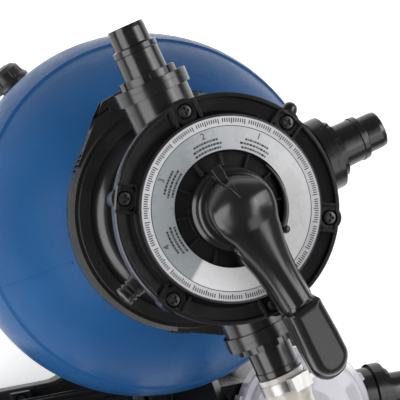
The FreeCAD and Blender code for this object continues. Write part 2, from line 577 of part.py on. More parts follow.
OUTLET = V(OUTLET_X, SHAFT_Y, 206.0)
tails += [lay(adapter(LINK_TAIL), OUTLET, Z), lay(adapter(), SUCTION, X)]
parts["hose_adapters"] = Part.makeCompound(tails)
seals += [lay(torus(25.0, 1.0, V(0, 0, -7.5)), OUTLET, Z), lay(torus(25.0, 1.0, V(0, 0, -7.5)), SUCTION, X)]
parts["adapter_o_rings"] = Part.makeCompound(seals)
drain = spun([(0, 0.1), (11, 0.1), (11, 7), (9.6, 8), (0, 8)]).fuse(cyl(4.95, 14, V(0, 0, -13)))
drain = drain.fuse(box(-8, -1.8, 7, 8, 1.8, 14))
parts["pot_drain_plug"] = lay(drain, V(POT_X, SHAFT_Y - POT_R - 8, 78), V(0, -1, 0))

# Strainer basket with a bail
basket = tube(52.0, 50.0, 100, pot_axis + V(0, 0, 70)).fuse(cyl(52.0, 2, pot_axis + V(0, 0, 68)))
basket = basket.fuse(tube(54.0, 50.0, 3, pot_axis + V(0, 0, 170)))
basket = basket.cut(cyl(20, 20, V(POT_X + 40, SHAFT_Y, 150), X))
slots = []
for k in range(20):
    if k % 5:
        slots.append(turned(box(POT_X + 45, SHAFT_Y - 3, 78, POT_X + 58, SHAFT_Y + 3, 116), 18 * k + 9,
                            pot_axis))
for k in range(-4, 5):
    slots.append(box(POT_X + k * 9 - 2, SHAFT_Y - 34, 60, POT_X + k * 9 + 2, SHAFT_Y + 34, 80))
for s in slots:
    basket = basket.cut(s)
bail = box(POT_X - 52, SHAFT_Y - 3, 166, POT_X - 48.5, SHAFT_Y + 3, 190)
bail = bail.fuse(box(POT_X + 48.5, SHAFT_Y - 3, 166, POT_X + 52, SHAFT_Y + 3, 190))
bail = bail.fuse(box(POT_X - 52, SHAFT_Y - 3, 187, POT_X + 52, SHAFT_Y + 3, 190))
parts["strainer_basket"] = fuse([basket, bail])

# Clear bayonet lid: shallow dome, stepped rim and a grip skirt
lid = spun([(64.5, 180.5), (68.5, 180.5), (68.5, 200), (67, 202.5), (61.5, 203.5), (59.5, 207), (56, 210.5),
            (44, 214), (26, LID_TOP), (0, LID_TOP), (0, 212), (26, 212), (42, 210.2), (54.5, 206), (56.8, 203),
            (56.8, 192.1), (64.5, 192.1)])
for k in range(8):
    lid = lid.fuse(turned(box(67, -4, 181.5, 71.5, 4, 199), 45 * k + 22.5))
parts["strainer_lid"] = moved(lid, POT_X, SHAFT_Y)
parts["lid_o_ring"] = torus(59.6, 1.35, pot_axis + V(0, 0, 190.75))

# ---------------------------------------------------------------- seal, impeller, shaft
plate = xspun([(10.0, -8), (70, -8), (70, 5.95), (12.0, 5.95), (12, 0), (10.0, 0)])
plate = plate.cut(xspun([(9, -9), (50, -9), (50, -3), (9, -3)]))
for r, a in SEAL_BOLTS:
    q = on_shaft(-10, r * math.cos(math.radians(a)), r * math.sin(math.radians(a)))
    plate = plate.cut(cyl(3.0, 30, q, X))
for k in range(4):
    a = math.radians(45 + 90 * k)
    plate = plate.cut(cyl(2.6, 40, on_shaft(-10, 40 * math.cos(a), 40 * math.sin(a)), X))
plate = plate.cut(xspun([(11.95, -0.05), (16.05, -0.05), (16.05, 7), (11.95, 7)]))
parts["seal_plate"] = plate
parts["seal_plate_bolts"] = Part.makeCompound([
    hex_bolt(on_shaft(-8, r * math.cos(math.radians(a)), r * math.sin(math.radians(a))), V(-1, 0, 0),
             2.6, 28, 8, 3.6) for r, a in SEAL_BOLTS])
parts["seal_seat"] = xspun([(8.6, 0.0), (16.0, 0.0), (16.0, 5.5), (8.6, 5.5)])
parts["seal_head"] = xspun([(8.0, 5.6), (14.5, 5.6), (14.5, 9), (13.0, 10), (13.0, 15.9), (8.0, 15.9)])
SHAFT_R = 8.0
parts["motor_shaft"] = xspun([(0, -181), (6.0, -181), (6.0, -152), (SHAFT_R, -152), (SHAFT_R, 16), (6.0, 16),
                              (6.0, 37), (0, 37)])
imp = xspun([(6.02, 16), (50, 16), (50, 19), (14, 20), (11, 38), (7, 42), (0, 42), (0, 37.1), (6.02, 37.1)])
imp = imp.fuse(xspun([(21, 34), (50, 30.0), (50, 32.4), (23, 37), (23, 44), (21, 44)]))
vanes = []
for k in range(6):
    v = Part.makeCylinder(60, 20, V(0, 0, 0), Z).cut(cyl(57.6, 22, V(0, 0, -1)))
    v = moved(v, 0, -46, 0).common(box(14, -30, 0, 49.5, 46, 20))
    v = turned(v, 60 * k).common(spun([(13, 2.0), (49.5, 2.0), (49.5, 14.6), (22, 19.4), (13, 19.4)]))
    vanes.append(lay(v, on_shaft(17), X))
imp = fuse([imp] + vanes)
parts["impeller"] = fuse(imp.Solids) if len(imp.Solids) > 1 else imp

# ---------------------------------------------------------------- motor
MOTOR_X = (-150.0, -22.0)
case = xspun([(52.5, MOTOR_X[0]), (MOTOR_R - 1.5, MOTOR_X[0]), (MOTOR_R - 1.5, MOTOR_X[1]), (52.5, MOTOR_X[1])])
fins = []
for k in range(30):
    a = 12 * k
    if 66 < a < 114 or 240 < a < 300:
        continue
    fins.append(box(MOTOR_X[0] + 4, -1.0, MOTOR_R - 3, MOTOR_X[1] - 4, 1.0, MOTOR_R + 3))
    fins[-1].rotate(V(0, 0, 0), X, a - 90)
    fins[-1].translate(S)
case = fuse([case] + fins)
saddle = box(-128, SHAFT_Y - 60, PLATE_TOP, -108, SHAFT_Y + 60, 58).fuse(
    box(-128, SHAFT_Y - 44, PLATE_TOP, -108, SHAFT_Y + 44, SHAFT_Z - 20))
saddle = saddle.cut(cyl(MOTOR_R - 2, 60, on_shaft(-140), X))
seat = box(-112, SHAFT_Y - 30, SHAFT_Z + 44, -42, SHAFT_Y + 30, SHAFT_Z + 60)
seat = seat.cut(cyl(MOTOR_R - 2, 120, on_shaft(-140), X)).cut(
    box(-108, SHAFT_Y - 26, SHAFT_Z, -46, SHAFT_Y + 26, SHAFT_Z + 70))
case = fuse([case, saddle, seat])
case = case.cut(cyl(7, 30, on_shaft(-77), Z)).cut(cyl(6, 80, on_shaft(-77, 0, 20), Z))
for x, y in PUMP_BOLTS:
    if x < 0:
        case = case.cut(cyl(3.2, 20, V(x, y, 39))).cut(cyl(7.2, 14, V(x, y, 48)))
parts["motor_case"] = case
front = xspun([(8.6, -22), (MOTOR_R, -22), (MOTOR_R, -12), (50, -8.1), (20.2, -8.1), (20.2, -3.2), (8.6, -3.2)])
front = front.fuse(xspun([(17.55, -36), (22, -36), (22, -22), (17.55, -22)]))
front = front.fuse(xspun([(48, -28), (52.4, -28), (52.4, -21), (48, -21)]))
front = front.cut(xspun([(0, -37), (17.52, -37), (17.52, -24), (0, -24)]))
for k in range(4):
    a = math.radians(45 + 90 * k)
    q = on_shaft(-24, 40 * math.cos(a), 40 * math.sin(a))
    front = front.cut(cyl(2.6, 40, q, X))
parts["motor_front_bracket"] = front
rear = xspun([(8.6, -156), (MOTOR_R, -156), (MOTOR_R, -150), (8.6, -150)])
rear = rear.fuse(xspun([(17.55, -150), (22, -150), (22, -137), (17.55, -137)]))
rear = rear.fuse(xspun([(48, -151), (52.4, -151), (52.4, -144), (48, -144)]))
parts["motor_rear_bracket"] = fuse([rear])
parts["bearings"] = Part.makeCompound([
    fuse([xspun([(13.6, x), (17.5, x), (17.5, x + 11), (13.6, x + 11)]),
          xspun([(8.03, x), (11.4, x), (11.4, x + 11), (8.03, x + 11)]),
          xspun([(11.0, x + 0.6), (14.0, x + 0.6), (14.0, x + 10.4), (11.0, x + 10.4)])])
    for x in (-35.5, -149.5)])
core = xspun([(34.0, -128), (52.4, -128), (52.4, -46), (34.0, -46)])
for k in range(24):
    slot = box(-130, -1.6, 36.5, -44, 1.6, 45)
    slot.rotate(V(0, 0, 0), X, 15 * k)
    slot.translate(S)
    core = core.cut(slot)
parts["stator_core"] = core
wind = [xspun([(36.5, x0), (46, x0), (48, (x0 + x1) / 2), (46, x1), (36.5, x1)])
        for x0, x1 in ((-142, -128.1), (-45.9, -38))]
parts["stator_winding"] = Part.makeCompound(wind)
parts["rotor_core"] = xspun([(SHAFT_R, -130), (33.6, -130), (33.6, -44), (SHAFT_R, -44)])
fan = xspun([(6.0, -179), (11, -179), (11, -163), (6.0, -163)])
for k in range(7):
    blade = box(-178, -0.9, 10, -164, 0.9, 44)
    blade.rotate(V(0, 0, 0), X, 360.0 / 7 * k)
    blade.translate(S)
    fan = fan.fuse(blade)
fan = fan.fuse(xspun([(11, -165), (44, -165), (44, -163), (11, -163)]))
parts["cooling_fan"] = fuse([fan])
cowl = xspun([(0, -190), (50, -190), (57, -184), (MOTOR_R + 1.6, -176), (MOTOR_R + 1.6, -140),
              (MOTOR_R + 0.1, -140), (MOTOR_R + 0.1, -175), (55.5, -182.6), (49.4, -188), (0, -188)])
for k in range(-5, 6):
    half = math.sqrt(46.0 ** 2 - (8.0 * k) ** 2)
    cowl = cowl.cut(box(-194, SHAFT_Y - half + 1, SHAFT_Z + 8 * k - 1.6, -187, SHAFT_Y + half - 1,
                        SHAFT_Z + 8 * k + 1.6))
cut_fins = xspun([(MOTOR_R + 0.05, -151), (MOTOR_R + 8, -151), (MOTOR_R + 8, -139), (MOTOR_R + 0.05, -139)])
parts["motor_case"] = parts["motor_case"].cut(cut_fins)
parts["fan_cowl"] = cowl

# Terminal box with the start capacitor, its lid, switch and cable inlet
tb = box(-114, SHAFT_Y - 33, SHAFT_Z + 60.1, -40, SHAFT_Y + 33, SHAFT_Z + 92)
tb = softened(tb, 5.0, upright_corner)
tb = tb.cut(box(-111, SHAFT_Y - 30, SHAFT_Z + 63, -43, SHAFT_Y + 30, SHAFT_Z + 95))
tb = tb.cut(cyl(6, 20, on_shaft(-77, 0, 50))).cut(cyl(8.05, 20, on_shaft(-95, -23, 76), V(0, -1, 0)))
parts["terminal_box"] = tb
tl = softened(box(-115.5, SHAFT_Y - 34.5, SHAFT_Z + 92.1, -38.5, SHAFT_Y + 34.5, SHAFT_Z + 99), 6.0, upright_corner)
tl = softened(tl, 2.5, lambda e: all(abs(v.Point.z - SHAFT_Z - 99) < 0.01 for v in e.Vertexes))
tl = tl.fuse(box(-110.8, SHAFT_Y - 29.8, SHAFT_Z + 88, -43.2, SHAFT_Y + 29.8, SHAFT_Z + 93).cut(
    box(-109, SHAFT_Y - 28, SHAFT_Z + 80, -45, SHAFT_Y + 28, SHAFT_Z + 92.1)))
tl = tl.cut(box(-92, SHAFT_Y - 6.6, SHAFT_Z + 85, -62, SHAFT_Y + 6.6, SHAFT_Z + 100))
parts["terminal_lid"] = tl
frame_ = box(-94, SHAFT_Y - 8.6, SHAFT_Z + 99.05, -60, SHAFT_Y + 8.6, SHAFT_Z + 101.6)
frame_ = frame_.fuse(box(-91.6, SHAFT_Y - 6.4, SHAFT_Z + 84, -62.4, SHAFT_Y + 6.4, SHAFT_Z + 100))
frame_ = frame_.cut(box(-89.6, SHAFT_Y - 5.0, SHAFT_Z + 86, -64.4, SHAFT_Y + 5.0, SHAFT_Z + 104))
frame_ = frame_.cut(cyl(1.05, 30, on_shaft(-77, -15, 98), Y))
parts["switch_frame"] = frame_
face = Part.Face(Part.makePolygon([V(-11.6, -4.5, -4), V(11.6, -4.5, -4), V(11.6, -4.5, 3.2), V(0, -4.5, 4.2),
                                   V(-10.8, -4.5, 7.2), V(-11.6, -4.5, -4)]))
rock = face.extrude(V(0, 9, 0)).fuse(cyl(1.0, 12.4, V(0, -6.2, 0), Y))
parts["switch_rocker"] = moved(rock, -77, SHAFT_Y, SHAFT_Z + 98)
parts["capacitor"] = cyl(11.5, 58, on_shaft(-106, 17, 74.7), X)
gl = spun([(0, 0.05), (11.5, 0.05), (11.5, 5), (9.5, 6), (11.0, 7), (11.0, 14), (7, 19), (4.1, 19), (4.1, 6), (0, 6)])
gl = gl.fuse(tube(8.0, 4.1, 9, V(0, 0, -8.9)))
gl = gl.cut(cyl(4.1, 60, V(0, 0, -20)))
parts["cable_gland"] = lay(gl, on_shaft(-95, -33, 76), V(0, -1, 0))
parts["pump_bolts"] = Part.makeCompound([hex_bolt(V(x, y, 48), Z, 3.0, 22, 10, 4.2) for x, y in PUMP_BOLTS])

# ---------------------------------------------------------------- clear hose and its clamps
HOSE_R = 18.6
HOSE_IN = 16.1
pump_dir = heading(PORT_DEG["pump"])
hose_start = at(STUB_END + 37.6, PORT_DEG["pump"], PORT_Z)
hose_end = V(OUTLET_X, SHAFT_Y, OUTLET.z + 37.6)
turn_1 = at(236.0, PORT_DEG["pump"], PORT_Z)
turn_2 = V(OUTLET_X, SHAFT_Y, OUTLET.z + 110)
cuff = 27.0
hose = pipe([hose_start + pump_dir * (cuff - 0.5), turn_1, turn_2, hose_end + V(0, 0, cuff - 0.5)], [66.0, 70.0],
            HOSE_R, HOSE_IN)
sleeve = spun([(16.2, 0), (19.7, 0), (19.7, 22), (HOSE_R, cuff), (HOSE_IN, cuff), (16.2, 22.5)])
hose = fuse([hose, lay(sleeve, hose_start, pump_dir), lay(sleeve, hose_end, Z)])
parts["clear_hose"] = hose


def worm_clamp(p, d, toward):
    """A band with a housing on one side; the screw is its own piece."""
    band = tube(20.5, 19.75, 9.0, V(0, 0, -4.5))
    tail = box(14.0, 19.9, -4.5, 34.0, 20.6, 4.5)
    tail.rotate(V(0, 0, 0), Z, -24)
    house = box(-9, 20.4, -6.2, 9, 29.6, 6.2).cut(cyl(4.05, 30, V(-15, 25.3, 0), X))
    house = house.cut(cyl(20.45, 20, V(0, 0, -10)))
    band = fuse([band, house])
    screw = cyl(3.9, 18, V(-8.6, 25.3, 0), X).fuse(lay(hexagon(8, 5.2), V(9.1, 25.3, 0), X))
    screw = screw.cut(box(13.2, 24.8, -6, 15, 25.8, 6))
    out = []
    for s in (band, screw):
        s = lay(s, V(0, 0, 0), Z)
        s.rotate(V(0, 0, 0), Z, toward)
        out.append(lay(s, p, d))
    return out


upper = worm_clamp(hose_start + pump_dir * 9.5, pump_dir, 0.0)
lower = worm_clamp(hose_end + V(0, 0, 9.5), Z, 160.0)
parts["hose_clamp_bands"] = Part.makeCompound([upper[0], lower[0]])
parts["hose_clamp_screws"] = Part.makeCompound([upper[1], lower[1]])

for name, shape in parts.items():
    shape.exportStep("parts/" + name + ".step")
    bb = shape.BoundBox
    print("%-22s solids %2d valid %s vol %10.0f  x %6.1f %6.1f y %6.1f %6.1f z %6.1f %6.1f" % (
        name, len(shape.Solids), shape.isValid(), shape.Volume, bb.XMin, bb.XMax, bb.YMin, bb.YMax,
        bb.ZMin, bb.ZMax))
print(len(parts), "nodes")
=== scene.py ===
import math
import random

import bmesh
import bpy
from mathutils import Euler, Matrix, Vector


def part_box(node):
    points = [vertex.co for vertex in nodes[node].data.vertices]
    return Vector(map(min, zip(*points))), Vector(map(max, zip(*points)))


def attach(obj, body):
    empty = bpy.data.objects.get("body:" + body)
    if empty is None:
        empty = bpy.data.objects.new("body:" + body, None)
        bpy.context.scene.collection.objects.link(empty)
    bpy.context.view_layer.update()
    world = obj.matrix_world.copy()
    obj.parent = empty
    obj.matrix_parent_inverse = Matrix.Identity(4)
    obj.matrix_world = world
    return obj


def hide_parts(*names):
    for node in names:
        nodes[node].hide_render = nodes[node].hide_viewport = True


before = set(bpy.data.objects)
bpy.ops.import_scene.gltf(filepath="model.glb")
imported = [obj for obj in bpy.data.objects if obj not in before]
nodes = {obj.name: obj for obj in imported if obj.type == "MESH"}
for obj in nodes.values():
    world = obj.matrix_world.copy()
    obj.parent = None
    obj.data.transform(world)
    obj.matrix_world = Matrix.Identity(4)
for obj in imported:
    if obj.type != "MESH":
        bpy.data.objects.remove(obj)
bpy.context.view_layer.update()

scene = bpy.context.scene
scene.view_settings.view_transform = "Standard"
rad = math.radians


# ------------------------------------------------------------------ materials

class Mat:
    """A principled material with short helpers for its node tree."""

    def __init__(self, name, color, rough, metallic=0.0, **sockets):
        self.m = bpy.data.materials.new(name)
        self.m.use_nodes = True
        self.t = self.m.node_tree
        self.b = self.t.nodes["Principled BSDF"]
        self.b.inputs["Base Color"].default_value = (*color, 1)
        self.b.inputs["Roughness"].default_value = rough
        self.b.inputs["Metallic"].default_value = metallic
        for k, v in sockets.items():
            self.b.inputs[k.replace("_", " ")].default_value = v
        self.coord = self.t.nodes.new("ShaderNodeTexCoord").outputs["Object"]
        self.height = None

    def node(self, kind, **inputs):
        n = self.t.nodes.new(kind)
        for k, v in inputs.items():
            k = k.replace("_", " ")
            if isinstance(v, bpy.types.NodeSocket):
                self.t.links.new(v, n.inputs[k])
            else:
                n.inputs[k].default_value = v
        return n

    def link(self, a, b):
        self.t.links.new(a, b)

    def math(self, op, a, b):
        n = self.t.nodes.new("ShaderNodeMath")
        n.operation = op
        for i, v in enumerate((a, b)):
            if isinstance(v, bpy.types.NodeSocket):
                self.t.links.new(v, n.inputs[i])
            else:
                n.inputs[i].default_value = v
        return n.outputs[0]

    def noise(self, scale, detail=2.0, stretch=None):
        vec = self.coord
        if stretch:
            mp = self.node("ShaderNodeMapping", Vector=self.coord, Scale=stretch)
            vec = mp.outputs["Vector"]
        return self.node("ShaderNodeTexNoise", Vector=vec, Scale=scale, Detail=detail).outputs["Fac"]

    def ramp(self, fac, stops):
        n = self.t.nodes.new("ShaderNodeValToRGB")
        self.link(fac, n.inputs["Fac"])
        r = n.color_ramp
        while len(r.elements) < len(stops):
            r.elements.new(0.5)
        for e, (p, c) in zip(r.elements, stops):
            e.position = p
            e.color = (*c, 1)
        return n.outputs["Color"]

    def range(self, fac, lo, hi, a, b):
        n = self.node("ShaderNodeMapRange", Value=fac)
        n.inputs["From Min"].default_value = lo
        n.inputs["From Max"].default_value = hi
        n.inputs["To Min"].default_value = a
        n.inputs["To Max"].default_value = b
        return n.outputs["Result"]

    def color(self, sock):
        self.link(sock, self.b.inputs["Base Color"])

    def rough(self, sock):
        self.link(sock, self.b.inputs["Roughness"])

    def bump(self, height, distance, strength=1.0):
        n = self.node("ShaderNodeBump", Height=height, Distance=distance, Strength=strength)
        if self.height is not None:
            self.link(self.height, n.inputs["Normal"])
        self.height = n.outputs["Normal"]
        self.link(self.height, self.b.inputs["Normal"])
        return self


def moulded(name, color, rough, grain=0.00004, ripple=0.00025, spread=0.25, edge=0.0, **sockets):
    """Injection-moulded plastic: faint tone change, sink ripples, a fine grain and softened edges."""
    m = Mat(name, color, rough, **sockets)
    if edge:
        n = m.t.nodes.new("ShaderNodeBevel")
        n.samples = 4
        n.inputs["Radius"].default_value = edge
        m.height = n.outputs["Normal"]
    tone = m.noise(22, 3)
    dark = tuple(c * (1 - spread) for c in color)
    light = tuple(c * (1 + spread) + 0.001 for c in color)
    m.color(m.ramp(tone, [(0.3, dark), (0.7, light)]))
    m.rough(m.range(m.noise(60, 4), 0.3, 0.7, rough * 0.8, rough * 1.25))
    m.bump(m.noise(14, 2), ripple)
    m.bump(m.noise(1600, 3), grain)
    return m


def metal(name, color, rough, lines=(1, 1, 40)):
    """Metal with fine scratches drawn out along the axes where lines is large."""
    m = Mat(name, color, rough, 1.0)
    m.rough(m.range(m.noise(90, 5, lines), 0.3, 0.7, rough * 0.7, rough * 1.4))
    m.color(m.ramp(m.noise(40, 4), [(0.3, tuple(c * 0.85 for c in color)), (0.7, color)]))
    m.bump(m.noise(260, 4, lines), 0.00002)
    return m


tank = Mat("tank blue", (0.012, 0.065, 0.18), 0.34, Specular_IOR_Level=0.06)
tank.color(tank.ramp(tank.noise(9, 3), [(0.3, (0.011, 0.06, 0.17)), (0.7, (0.015, 0.077, 0.21))]))
tank.rough(tank.range(tank.noise(40, 4), 0.3, 0.7, 0.24, 0.36))
tank.bump(tank.noise(26, 2), 0.0007)
tank.bump(tank.noise(330, 2), 0.0002)
tank.bump(tank.noise(1100, 2), 0.00005)

black = moulded("gloss black", (0.0065, 0.0062, 0.0068), 0.19, edge=0.0005)
satin = moulded("satin black", (0.011, 0.0105, 0.01), 0.3, grain=0.00008, edge=0.0006)
deck = moulded("base black", (0.014, 0.0135, 0.0135), 0.36, grain=0.00012, edge=0.0008)
# A lighter grey than the other black plastics, used for the stop lip
lip_grey = moulded("stop lip grey", (0.06, 0.058, 0.06), 0.3, spread=0.1)
rubber = moulded("rubber", (0.018, 0.018, 0.018), 0.7, grain=0.0001)
white = moulded("white nylon", (0.62, 0.62, 0.6), 0.45, spread=0.05)
grey = moulded("grey nylon", (0.16, 0.16, 0.17), 0.45, spread=0.1)
ceramic = moulded("ceramic", (0.7, 0.69, 0.65), 0.15, spread=0.04)
band_white = moulded("scale white", (0.5, 0.5, 0.52), 0.3, spread=0.05)
ink = moulded("printing ink", (0.012, 0.012, 0.013), 0.35, spread=0.1)
steel = metal("bright steel", (0.34, 0.335, 0.33), 0.34)
dark_steel = metal("blackened steel", (0.06, 0.058, 0.058), 0.38)
alu = metal("cast aluminium", (0.55, 0.55, 0.57), 0.45, (1, 1, 1))
iron = metal("laminations", (0.2, 0.2, 0.21), 0.5, (60, 1, 1))
copper = metal("enamelled copper", (0.6, 0.25, 0.1), 0.3, (30, 1, 1))
paint = moulded("motor paint", (0.014, 0.014, 0.015), 0.38, grain=0.0001)

clear = Mat("clear lid", (0.78, 0.76, 0.82), 0.06, Transmission_Weight=0.45, IOR=1.5)
clear.rough(clear.range(clear.noise(50, 3), 0.3, 0.7, 0.03, 0.1))
clear.bump(clear.noise(30, 2), 0.0003)
pvc = Mat("clear pvc", (0.72, 0.69, 0.63), 0.1, Transmission_Weight=0.55, IOR=1.45)
pvc.rough(pvc.range(pvc.noise(50, 3), 0.3, 0.7, 0.06, 0.16))
pvc.bump(pvc.noise(40, 2), 0.0004)

# Silver foil with painted reflection round the dial: brighter where the lamps would reflect, painted shade
# where they don't, with one crisp painted facet highlight edge at the lower left
foil = Mat("label foil", (0.3, 0.32, 0.35), 0.28)
xyz = foil.node("ShaderNodeSeparateXYZ", Vector=foil.coord).outputs
turn = foil.math("ARCTAN2", xyz["Y"], xyz["X"])
# dim is painted shade, lit is painted highlight and mid lies between, set by angle round the dial
dim, mid, lit = (0.25, 0.27, 0.285), (0.4, 0.41, 0.425), (0.64, 0.64, 0.65)
painted_sheen_round_dial = foil.range(turn, -math.pi, math.pi, 0.0, 1.0)
foil.color(foil.ramp(painted_sheen_round_dial, [(0.0, dim), (0.138, dim), (0.142, lit), (0.3, lit), (0.32, mid),
                                  (0.34, lit), (0.58, lit), (0.72, mid), (0.85, dim), (1.0, dim)]))
foil.rough(foil.range(foil.noise(80, 3), 0.3, 0.7, 0.22, 0.36))
foil.bump(foil.noise(60, 2), 0.00005)

USES = {
    tank: ["tank_shell"], deck: ["base_plate"],
    black: ["valve_body", "valve_cover", "handle", "pump_housing", "hose_adapters", "switch_frame"],
    satin: ["tank_stand", "drain_cap", "clamp_half_left", "clamp_half_right", "gauge_port_plug",
            "pot_drain_plug", "seal_plate", "fan_cowl", "terminal_box", "terminal_lid", "cable_gland"],
    rubber: ["base_feet", "drain_gasket", "neck_o_ring", "cover_o_ring", "spider_gasket", "stem_o_rings",
             "adapter_o_rings", "lid_o_ring"],
    white: ["standpipe", "lateral_hub", "laterals", "diverter", "thrust_washer", "strainer_basket",
            "capacitor"],
    grey: ["impeller", "cooling_fan", "switch_rocker"],
    steel: ["tank_screws", "clamp_bolts", "clamp_nuts", "diverter_spring", "handle_pin", "seal_plate_bolts",
            "motor_shaft", "bearings", "pump_bolts", "hose_clamp_bands", "hose_clamp_screws"],
    dark_steel: ["cover_screws", "seal_head"], ceramic: ["seal_seat"], iron: ["stator_core", "rotor_core"],
    copper: ["stator_winding"], alu: ["motor_front_bracket", "motor_rear_bracket"], paint: ["motor_case"],
    clear: ["strainer_lid"], pvc: ["clear_hose"], foil: ["label_ring"]}
for m, names in USES.items():
    for n in names:
        for s in nodes[n].material_slots:
            s.material = m.m


# ------------------------------------------------------------------ lever handle

def mesh_piece(name, bm, mat, body, smooth=True, cad=None):
    """Turns a bmesh into a shown piece that rides on a body, and may stand for a CAD node."""
    me = bpy.data.meshes.new(name)
    bmesh.ops.recalc_face_normals(bm, faces=bm.faces)
    bm.to_mesh(me)
    bm.free()
    for p in me.polygons:
        p.use_smooth = smooth
    if smooth:
        me.set_sharp_from_angle(angle=rad(38))
    o = bpy.data.objects.new(name, me)
    scene.collection.objects.link(o)
    me.materials.append(mat.m)
    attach(o, body)
    if cad:
        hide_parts(cad)
    return o


def smax(a, b, k):
    """A maximum with a rounded valley of size k."""
    h = max(k - abs(a - b), 0.0) / k
    return max(a, b) + h * h * k * 0.25


def step(x, a, b):
    """A smooth step from 0 at a to 1 at b."""
    t = min(max((x - a) / (b - a), 0.0), 1.0)
    return t * t * (3 - 2 * t)


MM = 0.001
HANDLE_DEG = -66.0                       # where the lever points, about the selector's axis
HUB_BOTTOM = 0.5724                      # height of the hub's foot in metres
# The lever's own measures, in mm
HUB, HUB_RIM, HUB_RISE = 27.0, 5.0, 29.0             # the hub's radius, rim height and dome height
TIP, GRIP, SHOULDER = 157.5, 14.6, 93.0              # its reach, the grip's half-width, where the grip starts
LAST = TIP - GRIP - 1.0                              # where the grip's round end starts
BAR, BAR_FLARE = 12.2, 11.0                          # the bar's half-width, and what the hub adds to it
BAR_TOP, RIDGE_RISE, RIDGE_DROP = 19.5, 12.0, 11.0   # height at the ridge, what the hub adds, ridge to edge
CROWN, CROWN_FALL, PILL = 23.5, 0.34, 7.0            # the grip panel's height, fall per mm, rounded edge


def half_width(s):
    """The lever's half-width in mm at s mm from the selector's axis."""
    hub = math.sqrt(max(HUB * HUB - s * s, 0.0))
    if s < 0:
        return hub
    bar = BAR + BAR_FLARE * math.exp(-(s / 42.0) ** 2.2)
    w = smax(hub, bar, 6.0 * step(s, 0, 12) + 0.01)
    grip = GRIP + 1.0 * step(s, 95, 130)
    if s > LAST:
        grip = math.sqrt(max((GRIP + 1.0) ** 2 - (s - LAST) ** 2, 0.0))
    return w + (grip - w) * step(s, SHOULDER - 2.5, SHOULDER + 1.5)


def lever_top(s, y):
    """Height of the upper surface in mm above the hub's foot."""
    w = max(half_width(s), 0.01)
    q = min(abs(y) / w, 1.0)
    rho = math.hypot(s, y) / HUB
    dome = HUB_RIM + HUB_RISE * max(1.0 - min(rho, 1.0) ** 2.2, 0.0) ** 0.6
    if rho > 1.0:
        dome = HUB_RIM - 60.0 * (rho - 1.0)
    if s < 0:
        ridge = BAR_TOP + RIDGE_RISE - 0.03 * s * s
    else:
        ridge = BAR_TOP + RIDGE_RISE * math.exp(-(s / 48.0) ** 2)
    side = ridge - RIDGE_DROP
    bar = side + (ridge - side) * max(1.0 - q ** 2.0, 0.0) ** 0.55
    z = smax(dome, bar, 5.0)
    edge = w - abs(y)
    if s > LAST:
        edge = GRIP + 1.0 - math.hypot(s - LAST, y)
    edge = min(edge, (s - SHOULDER + 1.0) * 1.2)
    crown = CROWN - CROWN_FALL * (s - SHOULDER)
    panel = crown - PILL + PILL * max(1.0 - max(1.0 - edge / 8.5, 0.0) ** 2.2, 0.0) ** 0.5
    return z + (panel - z) * step(s, SHOULDER - 2.0, SHOULDER)


def lever_foot(s):
    """Height of the rim's lower edge in mm at s mm from the axis."""
    bar = 1.5 * step(s, 26, 32) - 3.5 * step(s, 45, 85)
    return bar - 1.0 * step(s, 92, 95) - 14.0 * step(s, 85, 170)


def lever():
    """The moulding from hub to grip: a crowned top over a side wall that flares out to a thin rim."""
    bm = bmesh.new()
    # closer together round the hub, at the grip's shoulder and round the tip
    stations = [-HUB * math.cos(math.pi * 0.5 * i / 26) for i in range(26)]
    stations += [i * 1.25 for i in range(73)]
    stations += [91.5 + i * 0.5 for i in range(1, 10)] + [97 + i * 1.4 for i in range(34)]
    stations = [s for s in stations if s < LAST]
    stations += [LAST + (GRIP + 1.0) * math.sin(math.pi * 0.5 * i / 18) for i in range(19)]
    across = 40
    rings = []
    for s in stations:
        w = half_width(s)
        foot = lever_foot(s)
        flare = (0.4 + 2.6 * step(s, 18, 45) - 1.4 * step(s, 88, 93)) * min(w / 5.0, 1.0)
        out = s + 3.4 * step(s, LAST - 2, TIP)
        low = lever_top(s, w)
        waist = foot + (low - foot) * 0.42
        ring = [(out, -w - flare, foot), (out - 0.2, -w - flare + 0.3, waist), (s, -w - 0.1, waist + 0.9)]
        for j in range(across + 1):
            y = -w * math.cos(math.pi * j / across)
            ring.append((s, y, lever_top(s, y)))
        ring += [(s, w + 0.1, waist + 0.9), (out - 0.2, w + flare - 0.3, waist), (out, w + flare, foot)]
        rings.append([bm.verts.new(Vector(p) * MM) for p in ring])
    for a, b in zip(rings, rings[1:]):
        for i in range(len(a)):
            j = (i + 1) % len(a)
            bm.faces.new((a[i], b[i], b[j], a[j]))
    bm.faces.new(rings[0])
    bm.faces.new(list(reversed(rings[-1])))
    bmesh.ops.remove_doubles(bm, verts=bm.verts, dist=2e-6)
    return bm


def seat_on_hub(bm):
    """Moves a mesh made along +x onto the selector, pointing where the lever points."""
    seat = Matrix.Translation((0, 0, HUB_BOTTOM)) @ Matrix.Rotation(rad(HANDLE_DEG), 4, "Z")
    bmesh.ops.transform(bm, matrix=seat, verts=bm.verts)
    return bm


def fin():
    """The pointer: a low arm over the index disc that climbs the dome and narrows to a point."""
    bm = bmesh.new()
    rows = []
    start, length, low_arm = -38.0, 29.0, 16.0
    for i in range(31):
        s = start + length * i / 30
        arm = low_arm + 1.0 * step(s, start, -30)
        top = max(arm, lever_top(s, 0) + 2.4 - 1.9 * step(s, -24, -9))
        w = 1.1 + 3.0 * (1 - step(s, -33, -10))
        foot = 7.0 if s < -27 else max(lever_top(s, 0) - 4.0, 2.0)
        row = [(s, -w - 0.8, foot), (s, -w, top - 0.7), (s, -w + 0.4, top),
               (s, w - 0.4, top), (s, w, top - 0.7), (s, w + 0.8, foot)]
        rows.append([bm.verts.new(Vector(p) * MM) for p in row])
    for a, b in zip(rows, rows[1:]):
        for i in range(len(a)):
            j = (i + 1) % len(a)
            bm.faces.new((a[i], b[i], b[j], a[j]))
    bm.faces.new(rows[0])
    bm.faces.new(list(reversed(rows[-1])))
    return bm


